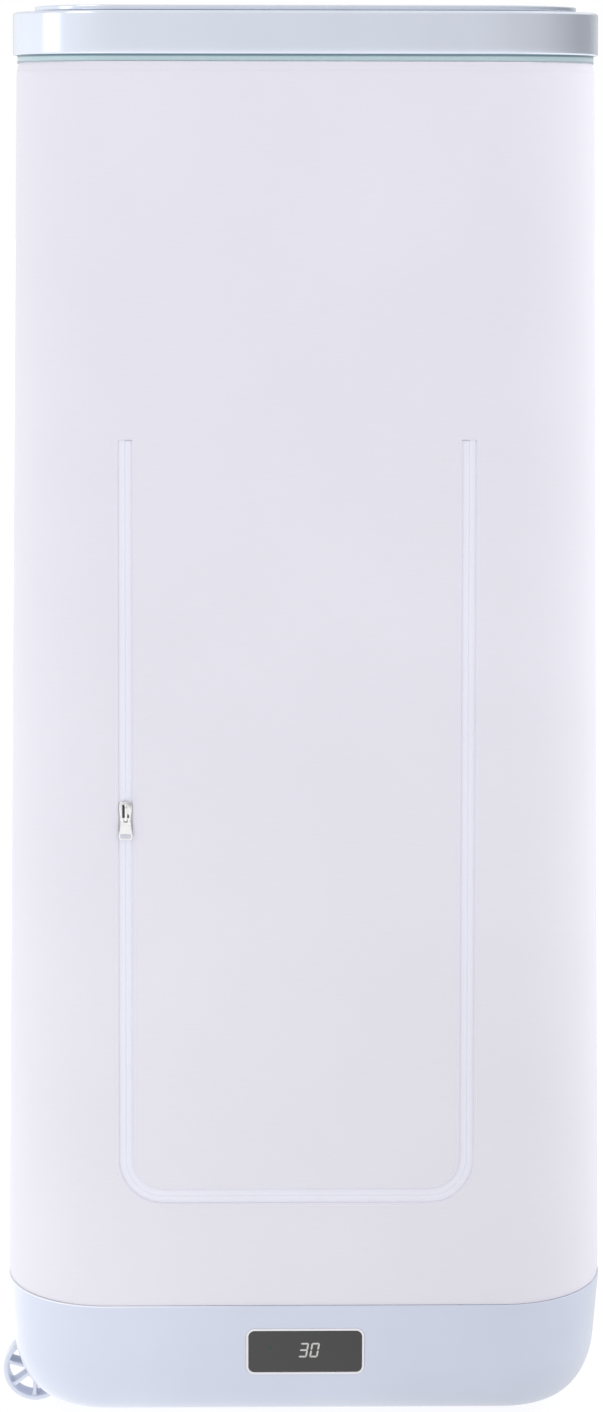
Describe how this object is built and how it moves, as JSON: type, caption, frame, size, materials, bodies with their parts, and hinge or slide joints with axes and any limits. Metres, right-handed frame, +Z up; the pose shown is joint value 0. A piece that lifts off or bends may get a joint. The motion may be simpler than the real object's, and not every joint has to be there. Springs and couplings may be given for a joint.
{
  "type": "drying cabinet",
  "caption": "Free-standing fabric clothes-drying cabinet: moulded base with hot-air unit and display, tube frame, taut cover with zipped door flap, moulded lid, transport wheels.",
  "frame": {"origin": "on the floor, under the middle of the cabinet", "axes": "+Z up, the front with the zip and the display faces -Y, +X to the right seen from the front"},
  "size_m": [0.607, 0.4534, 1.42],
  "materials": {
    "base_shell": "semi-gloss pale periwinkle moulding",
    "lid_shell": "glossy pale blue-grey moulding",
    "inner_plastic": "moulded, satin",
    "wheel_plastic": "moulded, satin",
    "cover_fabric": "smooth coated woven cloth",
    "zip_tape": "smooth woven tape",
    "neck_strip": "pale aqua hook-and-loop band",
    "bright_steel": "drawn tube and pin",
    "zip_metal": "plated casting",
    "window": "dark glossy window",
    "circuit_board": "solder mask",
    "dark_plastic": "moulded, satin",
    "filter_foam": "open foam",
    "duct_metal": "sheet",
    "heater_fins": "finned bars",
    "heater_frame": "heat-resistant moulding",
    "foot_rubber": "moulded rubber"
  },
  "bodies": {
    "root": {"base_tub": "base_shell", "base_deck": "inner_plastic", "air_outlet_grille": "inner_plastic", "display_bezel": "base_shell", "display_window": "window", "display_board": "circuit_board", "control_board": "circuit_board", "mains_inlet": "dark_plastic", "intake_grille": "dark_plastic", "intake_filter": "filter_foam", "fan_shroud": "inner_plastic", "fan_motor": "duct_metal", "heater_duct": "duct_metal", "heater_frame": "heater_frame", "heater_core": "heater_fins", "thermal_cutout": "dark_plastic", "wheel_housing_front": "base_shell", "wheel_housing_rear": "base_shell", "wheel_axles": "bright_steel", "feet": "base_shell", "foot_pads": "foot_rubber", "housing_screws": "bright_steel", "base_sockets": "inner_plastic", "pole_couplers": "inner_plastic", "lid_sockets": "inner_plastic", "rail_connectors": "inner_plastic", "front_rail": "bright_steel", "rear_rail": "bright_steel", "left_rail": "bright_steel", "right_rail": "bright_steel", "rod_brackets": "inner_plastic", "hanging_rod": "bright_steel", "lid_shell": "lid_shell", "lid_inner_plate": "inner_plastic", "lid_top_panel": "lid_shell", "neck_band": "neck_strip", "cover_front_panel": "cover_fabric", "cover_back_panel": "cover_fabric", "cover_left_panel": "cover_fabric", "cover_right_panel": "cover_fabric", "cover_top_hem": "cover_fabric", "cover_bottom_hem": "cover_fabric", "zip_tape_cover": "zip_tape", "lower_pole_front_left": "bright_steel", "lower_pole_front_right": "bright_steel", "lower_pole_rear_left": "bright_steel", "lower_pole_rear_right": "bright_steel", "upper_pole_front_left": "bright_steel", "upper_pole_front_right": "bright_steel", "upper_pole_rear_left": "bright_steel", "upper_pole_rear_right": "bright_steel"},
    "wheel_front_body": {"wheel_front": "wheel_plastic"},
    "wheel_rear_body": {"wheel_rear": "wheel_plastic"},
    "fan_rotor": {"fan_impeller": "dark_plastic", "motor_shaft": "bright_steel"},
    "flap": {"door_flap": "cover_fabric", "zip_tape_flap": "zip_tape"},
    "slider": {"zip_slider": "zip_metal"},
    "pull": {"zip_pull": "zip_metal"}
  },
  "joints": [
    {"name": "wheel_front_spin", "type": "hinge", "parent": "root", "child": "wheel_front_body", "pos_m": [-0.2745, -0.105, 0.0325], "axis": [0, 1, 0], "continuous": true},
    {"name": "wheel_rear_spin", "type": "hinge", "parent": "root", "child": "wheel_rear_body", "pos_m": [-0.2745, 0.105, 0.0325], "axis": [0, 1, 0], "continuous": true},
    {"name": "fan_spin", "type": "hinge", "parent": "root", "child": "fan_rotor", "pos_m": [0, 0, 0.075], "axis": [0, 0, 1], "continuous": true},
    {"name": "door_flap_lift", "type": "hinge", "parent": "root", "child": "flap", "pos_m": [-0.009, -0.2237, 0.9985], "axis": [-1, 0, 0], "range_deg": [0, 120]},
    {"name": "zip_slide", "type": "slide", "parent": "flap", "child": "slider", "axis": [0, 0, 1], "range_m": [-0.335, 0.34]},
    {"name": "zip_pull_swing", "type": "hinge", "parent": "slider", "child": "pull", "pos_m": [-0.1763, -0.2261, 0.628], "axis": [-1, 0, 0], "range_deg": [0, 120]}
  ]
}
